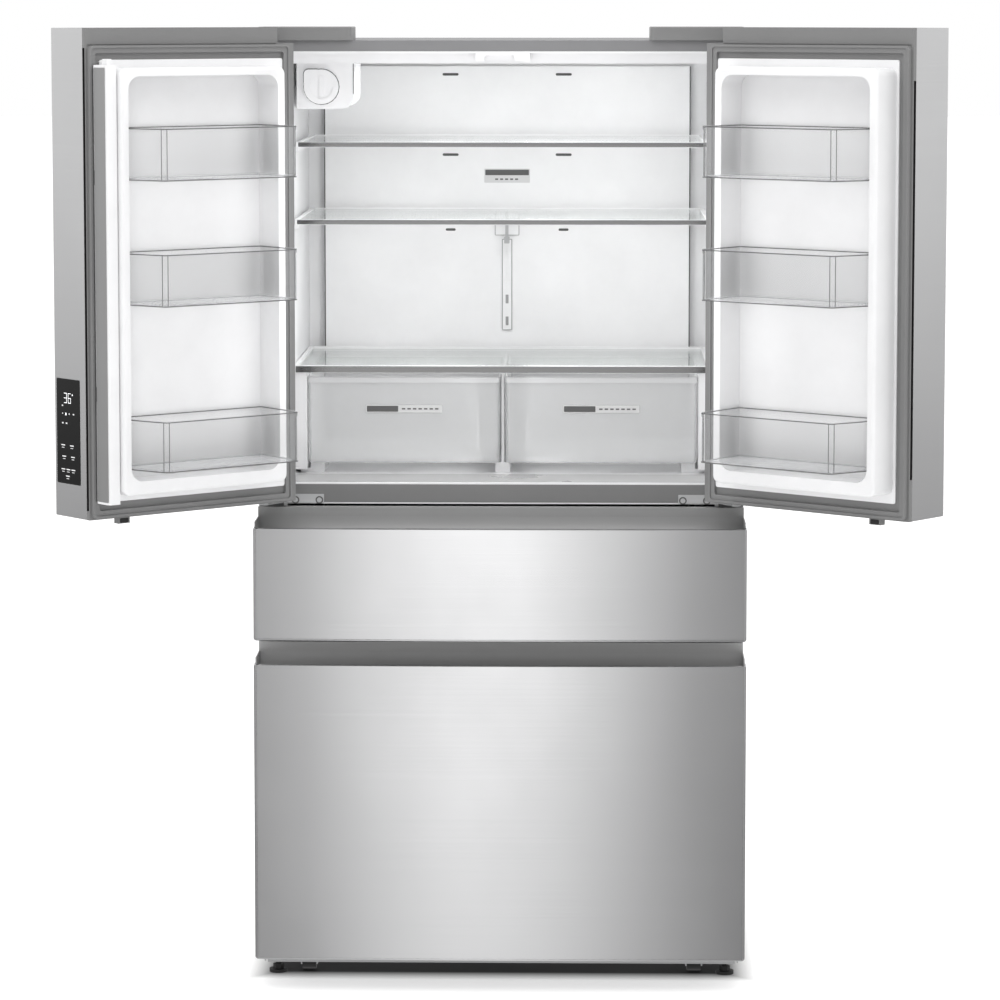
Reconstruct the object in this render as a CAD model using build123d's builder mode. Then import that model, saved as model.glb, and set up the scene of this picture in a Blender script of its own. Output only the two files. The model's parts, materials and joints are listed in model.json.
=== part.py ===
from build123d import *
from math import cos, radians, sin
import os

# French door refrigerator: two doors with bins over a drawer and a freezer drawer.
# Millimetres, +Z up, +X to the right seen from the front, +Y towards the back.
# The origin is on the floor under the middle of the object, doors open.

# Driving dimensions
WIDTH = 907.0
HEIGHT = 1781.0
DEPTH = 836.0  # drawer fronts to cabinet back, doors and drawers shut
CABINET_WIDTH = 902.0
CABINET_TOP = 1756.0
CABINET_BASE = 46.0
DOOR_THICKNESS = 112.0
DOOR_WIDTH = 450.0
DOOR_BOTTOM = 916.0
DOOR_GAP = 9.5  # door's back to cabinet's face, filled by the gasket
BOW = 9.0  # how far the middle of a front stands proud of its side edges
LEFT_OPEN = 139.5  # degrees each door stands open
RIGHT_OPEN = 141.0
HINGE_INSET = 20.0  # pin from the door's side edge
HINGE_DEPTH = 44.0  # pin behind the door's front
SHEET = 1.2
LINER_WALL = 2.5
BIN_REACH = 135.0  # bin's front from the door's back
RUNNING_FIT = 0.05

# Drawers
DRAWER_TOP = 893.0
DRAWER_LIP = 864.0
DRAWER_BOTTOM = 656.0
FREEZER_TOP = 640.0
FREEZER_LIP = 611.0
FREEZER_BOTTOM = 59.0
SCOOP_RADIUS = 42.0

# Compartments
CAVITY_HALF = 398.0
FOOD_FLOOR = 935.0
FOOD_CEILING = 1713.0
LIP_CEILING = 1733.0  # the food compartment's roof is higher just inside the doors
LIP_DEPTH = 178.0
CAVITY_BACK = 735.0
CHILL_FLOOR = 667.0
CHILL_CEILING = 896.0
FREEZER_FLOOR = 80.5
FREEZER_CEILING = 633.0
BAY_TOP = 300.0
BAY_FRONT = 604.0
STEP_BACK = 572.0  # the freezer is shallower over the compressor bay
STEP_FLOOR = BAY_TOP + 32.5

HALF = WIDTH / 2
CABINET_HALF = CABINET_WIDTH / 2
FACE_OPENING = 405.0  # half width of the opening in the cabinet's front flange
FACE_TOP = 1736.0
SCREW_PLACES = (338.5, 383.0)  # the centre hinges' screws, either side of the middle
SCREW_LEVEL = 903.0


def swing(u, v, angle):
    """Depth of a door's point after it opens: u from its hinge edge, v behind its front."""
    turn = radians(-angle)
    return HINGE_DEPTH + sin(turn) * (u - HINGE_INSET) + cos(turn) * (v - HINGE_DEPTH)


BIN_FREE_EDGE = 378.0  # the bin's free front corner, from the door's hinge edge
FORWARD_REACH = -swing(BIN_FREE_EDGE, DOOR_THICKNESS + BIN_REACH, LEFT_OPEN)
FRONT = (FORWARD_REACH - DEPTH) / 2
FACE = FRONT + DOOR_THICKNESS + DOOR_GAP
HINGE_X = HALF - HINGE_INSET
HINGE_Y = FRONT + HINGE_DEPTH


def block(x, y, z, mode=Mode.ADD):
    """Add a block that spans the pairs x, y and z, with y counted back from the fronts."""
    middle = ((x[0] + x[1]) / 2, FRONT + (y[0] + y[1]) / 2, (z[0] + z[1]) / 2)
    with Locations(middle):
        Box(abs(x[1] - x[0]), abs(y[1] - y[0]), abs(z[1] - z[0]), mode=mode)


def rod(x, y, z, radius, height, mode=Mode.ADD):
    """Add an upright cylinder whose foot is at x, depth y and height z."""
    with BuildSketch(Plane.XY.offset(z)) as circle:
        with Locations((x, FRONT + y)):
            Circle(radius)
    extrude(circle.sketch, amount=height, mode=mode)


def axle(x, y, z, radius, mode=Mode.ADD):
    """Add a cylinder along X that spans the pair x, at depth y and height z."""
    with BuildSketch(Plane.YZ.offset(min(x))) as circle:
        with Locations((FRONT + y, z)):
            Circle(radius)
    extrude(circle.sketch, amount=abs(x[1] - x[0]), mode=mode)


def stud(x, y, z, radius, mode=Mode.ADD):
    """Add a cylinder along Y that spans the pair y, at x and height z."""
    with BuildSketch(Plane.XZ.offset(-FRONT - max(y))) as circle:
        with Locations((x, z)):
            Circle(radius)
    extrude(circle.sketch, amount=abs(y[1] - y[0]), mode=mode)


def bowed_slab(x, y, z, bow, corner, mode=Mode.ADD):
    """Add an upright slab whose front bows forward between two rounded corners."""
    low, high = min(x), max(x)
    front, back = FRONT + y[0], FRONT + y[1]
    with BuildSketch(Plane.XY.offset(z[0])) as outline:
        with BuildLine():
            ThreePointArc((low, front), ((low + high) / 2, front - bow), (high, front))
            Polyline((high, front), (high, back), (low, back), (low, front))
        make_face()
        fillet(outline.vertices().group_by(Axis.Y)[0], corner)
    extrude(outline.sketch, amount=z[1] - z[0], mode=mode)


def rounded_block(x, y, z, radius, mode=Mode.ADD):
    """Add a block along Y whose outline in X and Z has rounded corners."""
    with BuildSketch(Plane.XZ.offset(-FRONT - max(y))) as outline:
        with Locations(((x[0] + x[1]) / 2, (z[0] + z[1]) / 2)):
            RectangleRounded(abs(x[1] - x[0]), abs(z[1] - z[0]), radius)
    extrude(outline.sketch, amount=abs(y[1] - y[0]), mode=mode)


def save(piece, name):
    """Label a finished piece and write its file."""
    piece.part.label = name
    export_step(piece.part, f"parts/{name}.step")


os.makedirs("parts", exist_ok=True)

# ---------------------------------------------------------------- cabinet

with BuildPart() as wrapper:
    block((-CABINET_HALF, CABINET_HALF), (FACE - FRONT, DEPTH), (CABINET_BASE, CABINET_TOP))
    inner = CABINET_HALF - SHEET
    block(
        (-inner, inner),
        (FACE - FRONT + SHEET, DEPTH + SHEET),
        (CABINET_BASE - 1, CABINET_TOP - SHEET),
        Mode.SUBTRACT,
    )
    block(
        (-FACE_OPENING, FACE_OPENING),
        (FACE - FRONT - 1, FACE - FRONT + 2 * SHEET),
        (FREEZER_FLOOR - LINER_WALL - 0.3, FACE_TOP),
        Mode.SUBTRACT,
    )
save(wrapper, "cabinet_wrapper")

CELL = LINER_WALL + 0.4  # foam stands this far off a compartment's inner face
FOAM_FRONT = 142.0
FOAM_BACK = DEPTH - 1.4
SIDE_FOAM = CAVITY_HALF + CELL

with BuildPart() as foam:
    for side in (-1, 1):
        block(
            (side * SIDE_FOAM, side * (CABINET_HALF - SHEET - 0.2)),
            (FACE - FRONT + SHEET + 0.2, FOAM_BACK),
            (CABINET_BASE + 1, CABINET_TOP - SHEET - 0.2),
        )
    across = (-SIDE_FOAM + 0.4, SIDE_FOAM - 0.4)
    layers = (
        ((FACE - FRONT + SHEET + 0.2, FOAM_BACK), (FACE_TOP + 1, CABINET_TOP - SHEET - 0.2)),
        ((LIP_DEPTH + 2, FOAM_BACK), (FOOD_CEILING + CELL, FACE_TOP + 0.6)),
        ((CAVITY_BACK + CELL, FOAM_BACK), (FOOD_FLOOR - 2, FOOD_CEILING + 2.5)),
        ((FOAM_FRONT, FOAM_BACK), (CHILL_CEILING + CELL, FOOD_FLOOR - CELL)),
        ((CAVITY_BACK + CELL, FOAM_BACK), (CHILL_FLOOR - 2, CHILL_CEILING + 2)),
        ((FOAM_FRONT, FOAM_BACK), (FREEZER_CEILING + CELL, CHILL_FLOOR - CELL)),
        ((CAVITY_BACK + CELL, FOAM_BACK), (BAY_TOP + 30, FREEZER_CEILING + 2)),
        ((575, FOAM_BACK), (BAY_TOP + 1, BAY_TOP + 29.4)),
        ((575, BAY_FRONT), (78, BAY_TOP + 0.4)),
        ((FACE - FRONT + SHEET + 0.2, BAY_FRONT), (CABINET_BASE + 2, 77.4)),
    )
    for depths, heights in layers:
        block(across, depths, heights)
save(foam, "insulation_foam")

with BuildPart() as back_panel:
    edge = CABINET_HALF - SHEET - 0.2
    block((-edge, edge), (FOAM_BACK + 0.2, DEPTH - 0.2), (BAY_TOP, CABINET_TOP - SHEET - 0.4))
    for x in (-270, 0, 270):
        rounded_block((x - 100, x + 100), (DEPTH - 0.4, DEPTH), (420, 1660), 20)
save(back_panel, "back_panel")

with BuildPart() as rails:
    rail_front = FACE - FRONT
    spacing = LINER_WALL + 0.2
    for ceiling, floor in ((CHILL_CEILING, FOOD_FLOOR), (FREEZER_CEILING, CHILL_FLOOR)):
        low, high = ceiling + spacing, floor - spacing
        block((-SIDE_FOAM + 0.4, SIDE_FOAM - 0.4), (rail_front, FOAM_FRONT - 0.4), (low, high))
        block((-SIDE_FOAM, SIDE_FOAM), (rail_front + 1.3, FOAM_FRONT), (low + 1.6, high - 1.6), Mode.SUBTRACT)
        block((-FACE_OPENING + 0.3, FACE_OPENING - 0.3), (rail_front, rail_front + 1.3), (low, high))
    for side in (-1, 1):
        for x in SCREW_PLACES:
            stud(side * x, (rail_front - 1, rail_front + 3), SCREW_LEVEL, 2.6, Mode.SUBTRACT)
save(rails, "front_rails")

# ---------------------------------------------------------------- liners

with BuildPart() as food_liner:
    shell = CAVITY_HALF + LINER_WALL
    front = FACE - FRONT + 0.1
    back = CAVITY_BACK + LINER_WALL
    block((-shell, shell), (front, back), (FOOD_FLOOR - LINER_WALL, FOOD_CEILING + LINER_WALL))
    block((-shell, shell), (front, LIP_DEPTH + 1.8), (FOOD_CEILING, LIP_CEILING + LINER_WALL))
    rim = FACE_OPENING - 0.3
    block((-rim, rim), (front, front + SHEET), (FOOD_FLOOR - LINER_WALL, FACE_TOP - 0.3))
    inside = (-CAVITY_HALF, CAVITY_HALF)
    rounded_block(inside, (front - 1, CAVITY_BACK), (FOOD_FLOOR, FOOD_CEILING), 12, Mode.SUBTRACT)
    rounded_block(inside, (front - 1, LIP_DEPTH), (1600, LIP_CEILING), 10, Mode.SUBTRACT)
    SHELF_LEVELS = (1553.6, 1407.6)
    for side in (-1, 1):
        for level in SHELF_LEVELS:
            block((side * 386, side * (CAVITY_HALF + 1)), (272, 690), (level - 8, level))
save(food_liner, "fresh_food_liner")

with BuildPart() as drawer_liners:
    outside = (-shell, shell)
    chill_height = (CHILL_FLOOR - LINER_WALL, CHILL_CEILING + LINER_WALL)
    block(outside, (front, back), chill_height)
    block((-rim, rim), (front, front + SHEET), chill_height)
    freezer_height = (FREEZER_FLOOR - LINER_WALL, FREEZER_CEILING + LINER_WALL)
    block(outside, (front, STEP_BACK + LINER_WALL), freezer_height)
    block((-rim, rim), (front, front + SHEET), freezer_height)
    block(outside, (front, back), (STEP_FLOOR - LINER_WALL, FREEZER_CEILING + LINER_WALL))
    block(inside, (front - 1, CAVITY_BACK), (CHILL_FLOOR, CHILL_CEILING), Mode.SUBTRACT)
    block(inside, (front - 1, STEP_BACK), (FREEZER_FLOOR, FREEZER_CEILING), Mode.SUBTRACT)
    block(inside, (front - 1, CAVITY_BACK), (STEP_FLOOR, FREEZER_CEILING), Mode.SUBTRACT)
save(drawer_liners, "drawer_liners")

# ---------------------------------------------------------------- food compartment fittings

DUCT_FRONT = 717.0
with BuildPart() as duct_panel:
    block((-364, 364), (DUCT_FRONT, CAVITY_BACK - 0.2), (950, 1700))
    block((-361, 361), (DUCT_FRONT + 3, CAVITY_BACK), (953, 1697), Mode.SUBTRACT)
    for side in (-1, 1):
        for level, length in ((1684, 32), (1524, 32), (1374, 20)):
            rounded_block(
                (side * 113 - length / 2, side * 113 + length / 2),
                (DUCT_FRONT - 1, DUCT_FRONT + 4),
                (level - 2.6, level + 2.6),
                2.5,
                Mode.SUBTRACT,
            )
save(duct_panel, "air_duct_panel")

with BuildPart() as ladder:
    block((-8.6, 8.6), (DUCT_FRONT - 6, DUCT_FRONT), (1174, 1354))
    for level in (1191, 1235, 1279, 1323):
        block((-3, 3), (DUCT_FRONT - 7, DUCT_FRONT - 2), (level - 9, level + 9), Mode.SUBTRACT)
    block((-23, 23), (DUCT_FRONT - 5, DUCT_FRONT), (1364, 1414))
    block((-18, 18), (DUCT_FRONT - 27, DUCT_FRONT - 5), (1396, 1407.6))
save(ladder, "shelf_ladder")

with BuildPart() as striker_guide:
    block((-47, 53), (124, 172), (1719, LIP_CEILING))
    rounded_block((-31, 25), (120, 165), (1700, 1729), 4, Mode.SUBTRACT)
save(striker_guide, "striker_guide")

FILTER_X = -339.0
FILTER_Z = 1668.5
with BuildPart() as filter_housing:
    block((-385.5, -278), (235, 470), (1627, FOOD_CEILING - 0.2))
    fillet(filter_housing.edges().filter_by(Axis.Y).group_by(Axis.Z)[0].sort_by(Axis.X)[-1], 25)
    stud(FILTER_X, (234, 420), FILTER_Z, 28, Mode.SUBTRACT)
save(filter_housing, "filter_housing")

with BuildPart() as water_filter:
    stud(FILTER_X, (234.6, 419), FILTER_Z, 27.7)
    with BuildSketch(Plane.XZ.offset(-FRONT - 234.6)) as cap:
        with Locations((FILTER_X, FILTER_Z)):
            Circle(32.5)
        with Locations((FILTER_X - 16.25, FILTER_Z + 16.25)):
            RectangleRounded(32.5, 32.5, 9)
    extrude(cap.sketch, amount=8.6)
    stud(FILTER_X, (225.4, 228), FILTER_Z, 22, Mode.SUBTRACT)
    block((FILTER_X - 3.5, FILTER_X + 3.5), (225.6, 230), (FILTER_Z - 20, FILTER_Z + 20))
save(water_filter, "water_filter")

SHELF_FRONT = 260.0
SHELF_BACK = 703.0


def shelf_frame(name, level, half, front_height):
    """A shelf's frame: four trims around the glass, the front one deeper."""
    with BuildPart() as frame:
        block((-half, half), (SHELF_FRONT, SHELF_BACK), (level, level + 10))
        depths = (SHELF_FRONT + 10, SHELF_BACK - 8)
        block((-half + 8, half - 8), depths, (level - 1, level + 11), Mode.SUBTRACT)
        block((-half, half), (SHELF_FRONT, SHELF_FRONT + 10), (level + 10 - front_height, level + 10))
        fillet(frame.edges().filter_by(Axis.Z).group_by(Axis.Y)[0], 3)
    save(frame, name)


shelf_frame("upper_shelf_frame", 1554.0, 389.0, 10.0)
shelf_frame("lower_shelf_frame", 1408.0, 392.0, 10.0)

with BuildPart() as glass:
    for level, half in ((1558.0, 381.0), (1412.0, 384.0)):
        block((-half, half), (SHELF_FRONT + 10, SHELF_BACK - 8), (level, level + 4.5))
    block((-388, 388), (SHELF_FRONT + 14, 691), (1132, 1136.5))
save(glass, "shelf_glass")

with BuildPart() as crisper_cover:
    block((-396, 396), (SHELF_FRONT, 699), (1127.4, 1141))
    block((-388, 388), (SHELF_FRONT + 14, 691), (1126, 1142), Mode.SUBTRACT)
    fillet(crisper_cover.edges().filter_by(Axis.X).group_by(Axis.Y)[0], 3)
save(crisper_cover, "crisper_cover_frame")

CRISPER_BOTTOM = 955.0
CRISPER_TOP = 1120.0
with BuildPart() as crisper_supports:
    for side in (-1, 1):
        block((side * 371, side * 396), (266, 700), (943, 1127))
        block((side * 340, side * 385), (290, 690), (FOOD_FLOOR + 0.2, 943))
        block((side * 340, side * 366), (290, 690), (943, CRISPER_BOTTOM - 0.4))
    block((-14, 14), (290, 690), (FOOD_FLOOR + 0.2, CRISPER_BOTTOM - 0.4))
save(crisper_supports, "crisper_supports")

for side, name in ((-1, "left_crisper"), (1, "right_crisper")):
    with BuildPart() as crisper:
        near, far = side * 4, side * 370.5
        block((near, far), (266, 690), (CRISPER_BOTTOM, CRISPER_TOP))
        fillet(crisper.edges().filter_by(Axis.Z), 6)
        fillet(crisper.faces().sort_by(Axis.Z)[0].edges(), 5)
        block(
            (near + side * 3, far - side * 3),
            (270, 687),
            (CRISPER_BOTTOM + 3, CRISPER_TOP + 1),
            Mode.SUBTRACT,
        )
        block((near + side * 2, far - side * 2), (262, 268), (CRISPER_TOP - 12, CRISPER_TOP - 2))
    save(crisper, name)

# ---------------------------------------------------------------- hinges

ARM_HALF = 9.0
PIN_RADIUS = 4.0
TOP_ARM = CABINET_TOP + 0.2
LOW_ARM = 903.0
PIN_GRIP = 30.0

with BuildPart() as hinge_plates:
    for side in (-1, 1):
        block((side * 330, side * 443), (126, 236), (TOP_ARM, TOP_ARM + 4))
        block((side * (HINGE_X - ARM_HALF), side * (HINGE_X + ARM_HALF)), (44, 130), (TOP_ARM, TOP_ARM + 4))
        rod(side * HINGE_X, HINGE_DEPTH, TOP_ARM, ARM_HALF, 4)
        rod(side * HINGE_X, HINGE_DEPTH, TOP_ARM - PIN_GRIP, PIN_RADIUS, PIN_GRIP)
        block((side * 330, side * 400), (119, 121.3), (898, 914))
        for x in SCREW_PLACES:
            stud(side * x, (118, 122), SCREW_LEVEL, 2.6, Mode.SUBTRACT)
        with BuildSketch(Plane.XY.offset(LOW_ARM)) as arm:
            with BuildLine():
                Polyline(
                    (side * (HINGE_X + ARM_HALF), HINGE_Y),
                    (side * (HINGE_X + ARM_HALF), FRONT + 121.3),
                    (side * 389, FRONT + 121.3),
                    (side * 389, FRONT + 100),
                    (side * (HINGE_X - ARM_HALF), HINGE_Y),
                    close=True,
                )
            make_face()
            with Locations((side * HINGE_X, HINGE_Y)):
                Circle(ARM_HALF)
        extrude(arm.sketch, amount=6)
        rod(side * HINGE_X, HINGE_DEPTH, LOW_ARM, PIN_RADIUS, 6 + 7 + PIN_GRIP)
save(hinge_plates, "hinge_plates")

with BuildPart() as hinge_covers:
    for side in (-1, 1):
        block((side * 275, side * 448), (114, 250), (CABINET_TOP + 0.2, HEIGHT))
    fillet(hinge_covers.edges().filter_by(Axis.Z), 8)
    fillet(hinge_covers.faces().group_by(Axis.Z)[-1].edges(), 2)
    for side in (-1, 1):
        block((side * 278, side * 445), (117, 247), (CABINET_TOP - 1, HEIGHT - 3), Mode.SUBTRACT)
        arm_slot = (side * (HINGE_X - 11), side * (HINGE_X + 11))
        block(arm_slot, (113, 118), (CABINET_TOP - 1, CABINET_TOP + 6), Mode.SUBTRACT)
save(hinge_covers, "hinge_covers")

with BuildPart() as screws:
    for side in (-1, 1):
        for x in SCREW_PLACES:
            stud(side * x, (117, 119), SCREW_LEVEL, 4.6)
            stud(side * x, (119, 127), SCREW_LEVEL, 2.5)
            for half, rise in ((3, 0.5), (0.5, 3)):
                across = (side * x - half, side * x + half)
                block(across, (116.9, 117.8), (SCREW_LEVEL - rise, SCREW_LEVEL + rise), Mode.SUBTRACT)
        for x, y in ((350, 150), (350, 215), (420, 180)):
            rod(side * x, y, TOP_ARM + 4, 6, 3)
save(screws, "hinge_screws")

# ---------------------------------------------------------------- doors

FRAME_DEPTH = 103.0  # where the steel skin ends and the grey inner frame begins
GRIP_WIDTH = 7.0
GRIP_REACH = 16.0
CAP_FLOOR = 1752.0  # the top cap's recess that the hinge arm swings in


def door_span(side, near, far):
    """X of two points on a shut door, counted from its hinge edge."""
    return side * (HALF - near), side * (HALF - far)


def swung(piece, side):
    """Turn a piece of a shut door about its hinge pin to where the door rests."""
    angle = RIGHT_OPEN if side > 0 else -LEFT_OPEN
    piece.part = piece.part.rotate(Axis((side * HINGE_X, HINGE_Y, 0), (0, 0, 1)), angle)
    return piece


def hinge_recess(side):
    """Cut the pocket in a door's top corner that the hinge arm swings in."""
    block(door_span(side, -1, 36), (4, DOOR_THICKNESS + 1), (CAP_FLOOR, HEIGHT + 1), Mode.SUBTRACT)


def door_skin(side, name):
    """The steel skin: bowed front and both side returns."""
    with BuildPart() as skin:
        heights = (DOOR_BOTTOM + 1, HEIGHT - 0.5)
        bowed_slab(door_span(side, 0, DOOR_WIDTH), (0, FRAME_DEPTH), heights, BOW, 6)
        inside = door_span(side, SHEET, DOOR_WIDTH - SHEET)
        bowed_slab(inside, (SHEET, FRAME_DEPTH + 1), (heights[0] - 1, heights[1] + 1), BOW, 5, Mode.SUBTRACT)
        hinge_recess(side)
        if side < 0:
            panel_slot = door_span(side, DOOR_WIDTH - 2, DOOR_WIDTH + 1)
            block(panel_slot, PANEL_DEPTHS, PANEL_HEIGHTS, Mode.SUBTRACT)
    save(swung(skin, side), name)


def door_frame(side, name, slot):
    """The moulded inner frame with the end caps, and the finger slot in its free edge."""
    with BuildPart() as frame:
        block(door_span(side, 0, DOOR_WIDTH), (FRAME_DEPTH + 0.1, DOOR_THICKNESS), (DOOR_BOTTOM, HEIGHT))
        block(door_span(side, 32, 418), (FRAME_DEPTH, DOOR_THICKNESS + 1), (952, 1719), Mode.SUBTRACT)
        inside = door_span(side, SHEET + 0.2, DOOR_WIDTH - SHEET - 0.2)
        for heights in ((DOOR_BOTTOM, 936), (CAP_FLOOR - 5, HEIGHT - 1)):
            bowed_slab(inside, (SHEET + 0.2, FRAME_DEPTH + 1), heights, BOW - 0.2, 4.6)
        grip = door_span(side, DOOR_WIDTH - GRIP_REACH, DOOR_WIDTH + 1)
        block(grip, (FRAME_DEPTH, FRAME_DEPTH + GRIP_WIDTH), slot, Mode.SUBTRACT)
        groove = (CAP_FLOOR - 2.5, CAP_FLOOR)
        depths = (DOOR_THICKNESS - 1.5, DOOR_THICKNESS + 1)
        block(door_span(side, 40, DOOR_WIDTH - 4), depths, groove, Mode.SUBTRACT)
        hinge_recess(side)
        rod(side * HINGE_X, HINGE_DEPTH, CAP_FLOOR - 6, PIN_RADIUS + RUNNING_FIT, 10, Mode.SUBTRACT)
        rod(side * HINGE_X, HINGE_DEPTH, DOOR_BOTTOM - 1, PIN_RADIUS + RUNNING_FIT, 22, Mode.SUBTRACT)
        block(door_span(side, 364, 388), (96, 110), (905, DOOR_BOTTOM + 1))
    save(swung(frame, side), name)


def door_core(side, name):
    """The foam between the skin and the liner."""
    with BuildPart() as core:
        inside = door_span(side, SHEET + 0.4, DOOR_WIDTH - SHEET - 0.4)
        bowed_slab(inside, (SHEET + 0.4, FRAME_DEPTH - 0.2), (936.4, CAP_FLOOR - 5.4), BOW - 0.4, 4.4)
        block(door_span(side, 32.4, 417.6), (FRAME_DEPTH - 1, DOOR_THICKNESS - 0.2), (952.4, 1718.6))
        for low, high in ((CAP_FLOOR - 30, CAP_FLOOR), (930, 950)):
            rod(side * HINGE_X, HINGE_DEPTH, low, PIN_RADIUS + 1, high - low, Mode.SUBTRACT)
        if side < 0:
            recess = door_span(side, DOOR_WIDTH - 9, DOOR_WIDTH)
            margin = (PANEL_DEPTHS[0] - 1, PANEL_DEPTHS[1] + 1)
            block(recess, margin, (PANEL_HEIGHTS[0] - 1, PANEL_HEIGHTS[1] + 1), Mode.SUBTRACT)
    save(swung(core, side), name)


DYKE_BASE = DOOR_THICKNESS + 2.5
DYKE_TOP = DOOR_THICKNESS + 62
PIVOT_FREE = 13.3  # the flipper's pivot, from the door's free edge
PIVOT_DEPTH = DOOR_THICKNESS + 14.3
PIVOT_CORNER = 5.0  # the flipper's corner is round about its pivot, so it clears the gasket
BRACKET_LEVELS = (1140.0, 1520.0)
BRACKET_HEIGHT = 24.0


def flipper_bracket(side, level):
    """Add an arm with a bored knuckle that holds the flipper's pin."""
    middle = DOOR_WIDTH - PIVOT_FREE
    heights = (level - BRACKET_HEIGHT / 2, level + BRACKET_HEIGHT / 2)
    block(door_span(side, 411, middle), (PIVOT_DEPTH - 3, PIVOT_DEPTH + 3), heights)
    centre = side * (HALF - middle)
    rod(centre, PIVOT_DEPTH, heights[0], PIVOT_CORNER - 0.4, BRACKET_HEIGHT)
    rod(centre, PIVOT_DEPTH, heights[0] - 1, 2 + RUNNING_FIT, BRACKET_HEIGHT + 2, Mode.SUBTRACT)


def door_liner(side, name):
    """The white liner: a flat border and a raised dyke around the bins."""
    with BuildPart() as liner:
        rounded_block(door_span(side, 63, 417), (DYKE_BASE, DYKE_TOP), (962, 1711), 14)
        fillet(liner.faces().sort_by(Axis.Y)[-1].edges(), 6)
        pocket = door_span(side, 80, 402)
        rounded_block(pocket, (DYKE_BASE, DYKE_TOP + 1), (986, 1697), 24, Mode.SUBTRACT)
        rounded_block(door_span(side, 27, 422), (DOOR_THICKNESS, DYKE_BASE), (946, 1725), 4)
        if side < 0:
            for level in BRACKET_LEVELS:
                flipper_bracket(side, level)
    save(swung(liner, side), name)


def door_gasket(side, name):
    """The magnetic gasket around the door's back."""
    with BuildPart() as gasket:
        depths = (DOOR_THICKNESS, DOOR_THICKNESS + 8.6)
        rounded_block(door_span(side, 14, 446), depths, (919, 1750), 8)
        middle = (DOOR_THICKNESS - 1, DOOR_THICKNESS + 10)
        rounded_block(door_span(side, 26.5, 433), middle, (932, 1737), 4, Mode.SUBTRACT)
        lip = (DOOR_THICKNESS + 6, DOOR_THICKNESS + 10)
        rounded_block(door_span(side, 18, 442), lip, (923, 1746), 6, Mode.SUBTRACT)
    save(swung(gasket, side), name)


BIN_LEVELS = ((1006.0, 1097.0), (1296.0, 1389.0), (1515.0, 1608.0))


def bin_outline(side, inset):
    """A bin seen from above: its front is narrower and has sloping ends."""
    corners = ((82, 6), (84, 60), (90, BIN_REACH), (BIN_FREE_EDGE, BIN_REACH), (397, 60), (399, 6))
    points = [(side * (HALF - u), FRONT + DOOR_THICKNESS + p) for u, p in corners]
    with BuildSketch(Plane.XY) as outline:
        with BuildLine():
            Polyline(*points, close=True)
        make_face()
        fillet(outline.vertices().group_by(Axis.Y)[-1], 9)
        if inset:
            offset(amount=-inset)
    return outline.sketch


def door_bins(side, name):
    """The three clear bins, each an open tray with a thicker front rim."""
    with BuildPart() as bins:
        for low, high in BIN_LEVELS:
            extrude(bin_outline(side, 0).moved(Location((0, 0, low))), amount=high - low)
        for low, high in BIN_LEVELS:
            hollow = bin_outline(side, 2.6).moved(Location((0, 0, low + 3)))
            extrude(hollow, amount=high - low, mode=Mode.SUBTRACT)
    save(swung(bins, side), name)


PANEL_DEPTHS = (10.0, 84.0)
PANEL_HEIGHTS = (975.0, 1162.0)
for side, word, slot in ((-1, "left", (932, 1746)), (1, "right", (990, 1689))):
    door_skin(side, f"{word}_door_skin")
    door_frame(side, f"{word}_door_frame", slot)
    door_core(side, f"{word}_door_foam")
    door_liner(side, f"{word}_door_liner")
    door_gasket(side, f"{word}_door_gasket")
    door_bins(side, f"{word}_door_bins")

with BuildPart() as panel:
    with BuildSketch(Plane.YZ.offset(-HALF + DOOR_WIDTH - 8)) as outline:
        middle = FRONT + sum(PANEL_DEPTHS) / 2
        with Locations((middle, sum(PANEL_HEIGHTS) / 2)):
            across = PANEL_DEPTHS[1] - PANEL_DEPTHS[0] - 0.4
            RectangleRounded(across, PANEL_HEIGHTS[1] - PANEL_HEIGHTS[0] - 0.4, 3)
    extrude(outline.sketch, amount=8.6)
save(swung(panel, -1), "control_panel")

# The flipper hangs on the left door's free edge and folds back when the door opens.
FLIPPER_BOTTOM = 947.0
FLIPPER_TOP = 1716.5
FLIPPER_FREE = PIVOT_FREE - PIVOT_CORNER
with BuildPart() as flipper:
    near, far = door_span(-1, DOOR_WIDTH - FLIPPER_FREE - 22.9, DOOR_WIDTH - FLIPPER_FREE)
    low, high = PIVOT_DEPTH - PIVOT_CORNER, PIVOT_DEPTH + 36
    block((near, far), (low, high), (FLIPPER_BOTTOM, FLIPPER_TOP))
    free_edges = flipper.edges().filter_by(Axis.Z).group_by(Axis.X)[-1].sort_by(Axis.Y)
    fillet(free_edges[0], PIVOT_CORNER)
    free_edges = flipper.edges().filter_by(Axis.Z).sort_by(Axis.Y)[-2:].sort_by(Axis.X)
    fillet(free_edges[-1], 6)
    pivot_x = -HALF + DOOR_WIDTH - PIVOT_FREE
    for level in BRACKET_LEVELS:
        notch = (level - BRACKET_HEIGHT / 2 - 1, level + BRACKET_HEIGHT / 2 + 1)
        block((pivot_x - 20, pivot_x + 12), (PIVOT_DEPTH - 12, PIVOT_DEPTH + 8), notch, Mode.SUBTRACT)
        rod(pivot_x, PIVOT_DEPTH, notch[0] - 1, 2, BRACKET_HEIGHT + 4)
    block((near + 7, near + 17), (DOOR_THICKNESS + 32, DOOR_THICKNESS + 46), (FLIPPER_TOP - 1, 1727))
save(swung(flipper, -1), "flipper_mullion")

# ---------------------------------------------------------------- drawers

TRIM_INSET = 2.5
TRIM_WALL = 2.5


def scoop(top, radius):
    """The finger scoop's round section below a drawer's top edge, in Y and Z."""
    with Locations((FRONT + 52, top - 17)):
        Circle(radius)


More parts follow.
